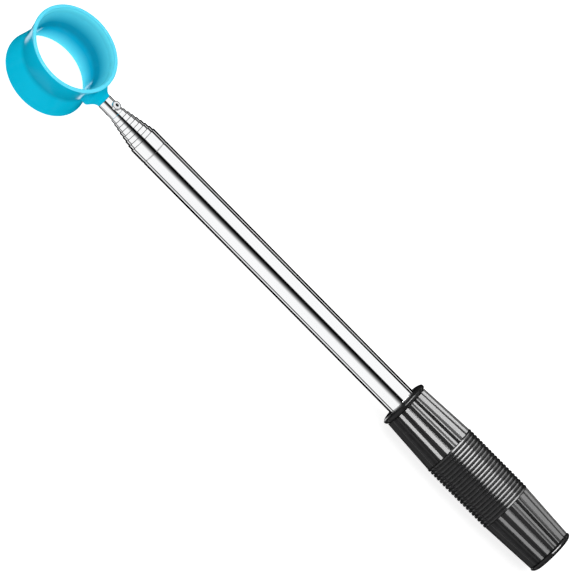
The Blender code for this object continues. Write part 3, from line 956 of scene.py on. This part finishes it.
class WorldMath:
    """Builds the world's brightness out of small nodes."""

    def __init__(self, tree):
        self.nodes, self.links = tree.nodes, tree.links

    def do(self, operation, *values):
        node = self.nodes.new("ShaderNodeMath")
        node.operation = operation
        for socket, value in zip(node.inputs, values):
            if isinstance(value, bpy.types.NodeSocket):
                self.links.new(value, socket)
            else:
                socket.default_value = value
        return node.outputs[0]

    def ramp(self, turn, stops):
        """A level for each angle round the pole."""
        node = self.nodes.new("ShaderNodeValToRGB")
        elements = node.color_ramp.elements
        elements.remove(elements[-1])
        for number, (degrees, level) in enumerate(stops):
            place = (degrees + 180) / 360
            element = elements[0] if number == 0 else elements.new(place)
            element.position = place
            element.color = (level, level, level, 1.0)
        self.links.new(turn, node.inputs[0])
        return node.outputs[0]

    def fade(self, value, start, end, low, high):
        """A smooth change from low to high, as the value goes from start to end."""
        node = self.nodes.new("ShaderNodeMapRange")
        node.interpolation_type = "SMOOTHSTEP"
        for socket, number in zip(("From Min", "From Max", "To Min", "To Max"), (start, end, low, high)):
            node.inputs[socket].default_value = number
        self.links.new(value, node.inputs["Value"])
        return node.outputs["Result"]


def studio():
    """A white cyclorama with black flags along the pole, all as world light."""
    world = bpy.data.worlds.new("studio")
    bpy.context.scene.world = world
    world.use_nodes = True
    make = WorldMath(world.node_tree)
    background = make.nodes["Background"]
    background.inputs["Color"].default_value = (1.0, 1.0, 1.0, 1.0)
    direction = make.nodes.new("ShaderNodeSeparateXYZ")
    make.links.new(make.nodes.new("ShaderNodeTexCoord").outputs["Generated"], direction.inputs[0])
    x, y, z = direction.outputs
    turn = make.do("ARCTAN2", z, make.do("MULTIPLY", y, -1.0))
    turn = make.do("ADD", make.do("DIVIDE", turn, 2 * math.pi), 0.5)
    lean = make.do("ABSOLUTE", x)
    dimmed = make.fade(lean, *DIMMED_LEAN, 1.0, DIMMED_LEVEL)
    level = make.do("MULTIPLY", make.ramp(turn, STUDIO_BANDS), dimmed)
    leaning = make.fade(lean, *BELOW_LEAN[:2], 0.0, BELOW_LEVEL)
    leaning = make.do("MULTIPLY", leaning, make.fade(lean, *BELOW_LEAN[2:], 1.0, 0.0))
    lower = make.do("MULTIPLY", make.ramp(turn, BELOW_BANDS), leaning)
    make.links.new(make.do("ADD", level, lower), background.inputs["Strength"])


def strip_light(name, radiance, reach, turns, lit=(), distance=STRIP_DISTANCE):
    """A soft box beside the pole, over the given reach along it and angles round it.

    It draws highlights on the pieces named as lit. With none named it fills everything instead.
    """
    low, high = (math.radians(turn) for turn in turns)
    middle = (low + high) / 2
    outwards = Vector((0.0, -math.cos(middle), math.sin(middle)))
    along = Vector((1.0, 0.0, 0.0))
    data = bpy.data.lights.new(name, "AREA")
    data.shape = "RECTANGLE"
    data.size = reach[1] - reach[0]
    data.size_y = 2 * distance * math.tan((high - low) / 2)
    data.energy = 4 * data.size * data.size_y * radiance
    thing = bpy.data.objects.new(name, data)
    place = Vector((sum(reach) / 2, 0.0, AXIS_HEIGHT)) + distance * outwards
    thing.matrix_world = facing(place, along, outwards.cross(along), outwards)
    thing.visible_camera = False
    thing.visible_diffuse = not lit
    thing.visible_glossy = bool(lit)
    bpy.context.scene.collection.objects.link(thing)
    if lit:
        group = bpy.data.collections.new(f"{name}_pieces")
        for piece_name in lit:
            group.objects.link(bpy.data.objects[piece_name])
        thing.light_linking.receiver_collection = group


def lights():
    """Narrow lights that draw highlights on the plastic, and two wide ones that fill."""
    front, rear = HANDLE_LIGHT_FRONT, HANDLE_LIGHT_REAR
    grip_reach = (GRIP_LIGHT_FRONT, GRIP_LIGHT_REAR)
    far_reach = (front, CAP_LIGHT_FRONT)
    body = ("fluted_body", "ribbed_grip")
    strip_light("ring_light", 20.0, RING_LIGHT_REACH, (66, 118), ("ball_ring",))
    strip_light("front_handle_light", 27.0, (front, GRIP_LIGHT_FRONT), (50, 118), body)
    strip_light("grip_light", 17.0, grip_reach, (50, 116), body)
    strip_light("rear_handle_light", 10.0, (GRIP_LIGHT_REAR, rear), (50, 118), body)
    strip_light("cap_light", 45.0, (CAP_LIGHT_FRONT, rear), (50, 106), ("rear_cap",))
    strip_light("far_handle_light", 3.0, far_reach, (120, 160), body, FAR_STRIP_DISTANCE)
    strip_light("collar_light", 25.0, COLLAR_LIGHT_REACH, (50, 112), ("tube_collar",))
    near, far = FILL_DISTANCES
    strip_light("ring_fill", 3.5, RING_FILL_REACH, (35, 62), distance=near)
    strip_light("fill_light", 0.9, FILL_REACH, (60, 120), distance=far)


def floor():
    """A large pale floor under the tool. Polished surfaces see the studio instead of it."""
    ends = (-FLOOR_HALF_WIDTH, FLOOR_HALF_WIDTH)
    rows = np.array([[(x, y, -FLOOR_GAP) for x in ends] for y in ends])
    mesh = bpy.data.meshes.new("floor")
    mesh.from_pydata(rows.reshape(-1, 3).tolist(), [], [(0, 1, 3, 2)])
    mesh.materials.append(white_floor())
    thing = bpy.data.objects.new("floor", mesh)
    thing.visible_glossy = False
    bpy.context.scene.collection.objects.link(thing)


def build():
    bpy.context.scene.view_settings.view_transform = "Standard"
    steel, brass = polished_steel(), spring_brass()
    # Painted shade: dark steel for the lines at the lips and in the stop groove
    lip_shade_steel = painted_shade_steel("rolled_lip_painted_shade_steel", 0.06)
    groove_shade_steel = painted_shade_steel("rolled_groove_painted_shade_steel", 0.45)
    pressed_steel, plastic, rubber = rivet_steel(), black_plastic(), black_rubber()
    ball_ring(
        # The ring's plastic carries painted shade at the waist; the neck's copy has none
        cyan_plastic("cyan_moulded_plastic", PAINTED_SHADE_AT_WAIST).material,
        cyan_plastic_with_painted_light().material,
        cyan_plastic("cyan_neck_plastic", 0.0).material,
    )
    rivet(pressed_steel)
    for number in range(1, SECTIONS + 1):
        section(number, steel, lip_shade_steel)
        friction_sleeve(number, brass)
    outer_tube(steel, lip_shade_steel, groove_shade_steel)
    collar(plastic)
    handle_body(plastic)
    grip_sleeve(rubber)
    end_cap(plastic)
    end_plug(plastic)
    lock_pin(pressed_steel)
    floor()
    studio()
    lights()
    camera()


build()
